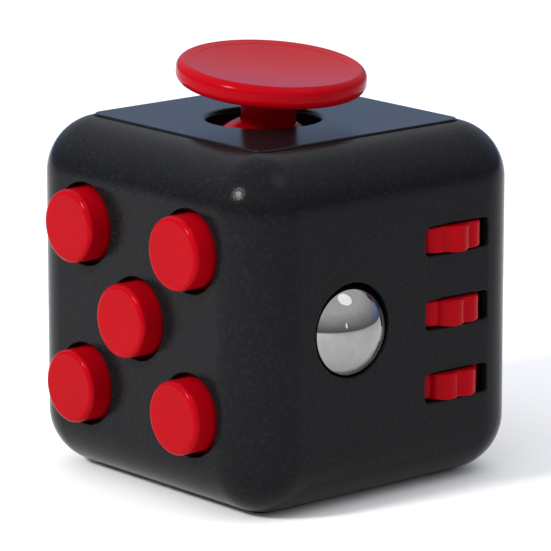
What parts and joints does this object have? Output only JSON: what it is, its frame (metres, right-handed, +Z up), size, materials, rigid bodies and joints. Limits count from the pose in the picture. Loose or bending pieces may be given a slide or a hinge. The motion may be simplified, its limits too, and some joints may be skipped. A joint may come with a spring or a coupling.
{
  "type": "fidget cube",
  "caption": "Pocket-sized rounded cube with push buttons, a rolling ball, lobed wheels, a thumb stick, a rocker, a dial and a thumb dish, one toy on each face.",
  "frame": {"origin": "centre of the flat rest face on the underside", "axes": "+Z up out of the thumb stick face, -Y out of the button face, +X out of the ball and wheel face, +Y rocker face, -X dial face"},
  "size_m": [0.0361, 0.0378, 0.0393],
  "materials": {
    "body": "satin moulded black",
    "red": "glossy moulded red",
    "ball_chrome": "polished bearing ball",
    "screw_steel": "zinc plated",
    "spring_steel": "bright spring steel",
    "silicone": "matt translucent grey",
    "inner": "as moulded black",
    "seat": "natural acetal"
  },
  "bodies": {
    "casing": {"body_shell": "body", "top_plate": "body", "bottom_plate": "body", "button_membrane": "silicone", "button_back_plate": "inner", "snap_domes": "spring_steel", "back_plate_screws": "screw_steel", "gear_axle": "screw_steel", "gear_bracket": "inner", "gear_detent_springs": "spring_steel", "gear_screws": "screw_steel", "ball_spring": "spring_steel", "ball_housing": "inner", "ball_housing_screws": "screw_steel", "gimbal_holder": "inner", "joystick_spring": "spring_steel", "holder_screws": "screw_steel", "rocker_housing": "inner", "rocker_pin": "screw_steel", "rocker_spring": "spring_steel", "rocker_screws": "screw_steel"},
    "button_1": {"button_1": "red"},
    "button_2": {"button_2": "red"},
    "button_3": {"button_3": "red"},
    "button_4": {"button_4": "red"},
    "button_5": {"button_5": "red"},
    "gear_top": {"gear_top": "red"},
    "gear_middle": {"gear_middle": "red"},
    "gear_bottom": {"gear_bottom": "red"},
    "ball_plunger": {"ball_plunger": "inner"},
    "ball_seat": {"ball_seat_ring": "seat"},
    "ball": {"steel_ball": "ball_chrome"},
    "gimbal": {"gimbal_ring": "seat", "gimbal_pin": "screw_steel"},
    "joystick": {"joystick_cap": "red", "joystick_dome": "red"},
    "rocker": {"rocker": "red"},
    "dial": {"dial": "red", "dial_washer": "screw_steel", "dial_screw": "screw_steel"}
  },
  "joints": [
    {"name": "button_1_press", "type": "slide", "parent": "casing", "child": "button_1", "axis": [0, 1, 0], "range_m": [0, 0.001], "stiffness_N_per_m": 400, "deforming": ["button_membrane"]},
    {"name": "button_2_press", "type": "slide", "parent": "casing", "child": "button_2", "axis": [0, 1, 0], "range_m": [0, 0.001], "stiffness_N_per_m": 400, "deforming": ["button_membrane"]},
    {"name": "button_3_press", "type": "slide", "parent": "casing", "child": "button_3", "axis": [0, 1, 0], "range_m": [0, 0.001], "stiffness_N_per_m": 400, "deforming": ["button_membrane"]},
    {"name": "button_4_press", "type": "slide", "parent": "casing", "child": "button_4", "axis": [0, 1, 0], "range_m": [0, 0.001], "stiffness_N_per_m": 400, "deforming": ["button_membrane"]},
    {"name": "button_5_press", "type": "slide", "parent": "casing", "child": "button_5", "axis": [0, 1, 0], "range_m": [0, 0.001], "stiffness_N_per_m": 400, "deforming": ["button_membrane"]},
    {"name": "gear_top_spin", "type": "hinge", "parent": "casing", "child": "gear_top", "pos_m": [0.01325, 0.00766, 0.02344], "axis": [0, 0, 1], "continuous": true},
    {"name": "gear_middle_spin", "type": "hinge", "parent": "casing", "child": "gear_middle", "pos_m": [0.01325, 0.00766, 0.0166], "axis": [0, 0, 1], "continuous": true},
    {"name": "gear_bottom_spin", "type": "hinge", "parent": "casing", "child": "gear_bottom", "pos_m": [0.01325, 0.00766, 0.00976], "axis": [0, 0, 1], "continuous": true},
    {"name": "ball_press", "type": "slide", "parent": "casing", "child": "ball_plunger", "axis": [-1, 0, 0], "range_m": [0, 0.001], "stiffness_N_per_m": 500, "deforming": ["ball_spring"]},
    {"name": "ball_seat_turn", "type": "hinge", "parent": "ball_plunger", "child": "ball_seat", "pos_m": [0.0134, -0.00505, 0.01655], "axis": [1, 0, 0], "continuous": true},
    {"name": "ball_roll", "type": "hinge", "parent": "ball_seat", "child": "ball", "pos_m": [0.0134, -0.00505, 0.01655], "axis": [0, 0, 1], "continuous": true},
    {"name": "joystick_tilt_x", "type": "hinge", "parent": "casing", "child": "gimbal", "pos_m": [0, -0.0014, 0.027], "axis": [0, 1, 0], "range_deg": [-17, 5], "stiffness_Nm_per_rad": 0.05, "deforming": ["joystick_spring"]},
    {"name": "joystick_tilt_y", "type": "hinge", "parent": "gimbal", "child": "joystick", "pos_m": [0, -0.0014, 0.027], "axis": [0.9942, 0, -0.108], "range_deg": [-11, 11], "stiffness_Nm_per_rad": 0.05, "deforming": ["joystick_spring"]},
    {"name": "rocker_flip", "type": "hinge", "parent": "casing", "child": "rocker", "pos_m": [0, 0.0133, 0.0166], "axis": [-1, 0, 0], "range_deg": [0, 24]},
    {"name": "dial_spin", "type": "hinge", "parent": "casing", "child": "dial", "pos_m": [-0.0165, 0, 0.0166], "axis": [-1, 0, 0], "continuous": true}
  ]
}
